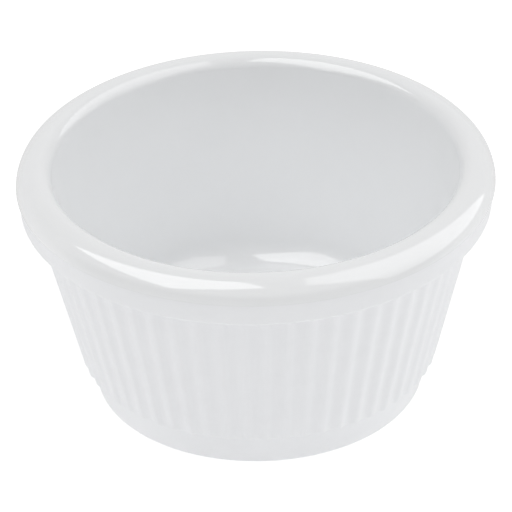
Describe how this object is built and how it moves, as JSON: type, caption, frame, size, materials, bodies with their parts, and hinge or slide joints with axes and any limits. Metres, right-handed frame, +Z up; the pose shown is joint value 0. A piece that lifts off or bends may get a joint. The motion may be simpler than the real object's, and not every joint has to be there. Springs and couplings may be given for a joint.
{
  "type": "ramekin",
  "caption": "Small round moulded ramekin: tapered fluted wall on a smooth foot, thick rolled rim that overhangs the wall, smooth open bowl with a rounded floor corner.",
  "frame": {"origin": "middle of the base, on the plane of the foot ring that rests on the table", "axes": "+Z up along the ramekin's axis of revolution, towards its mouth; +X and +Y lie in the table plane and are equal, because the ramekin is round"},
  "size_m": [0.0826, 0.0826, 0.0436],
  "materials": {
    "moulding": "white filled thermoset moulding with a soft, semi-gloss mould finish",
    "overlay": "white, high gloss, very smooth"
  },
  "bodies": {
    "root": {"moulded_body": "moulding", "glaze_overlay": "overlay"}
  },
  "joints": []
}
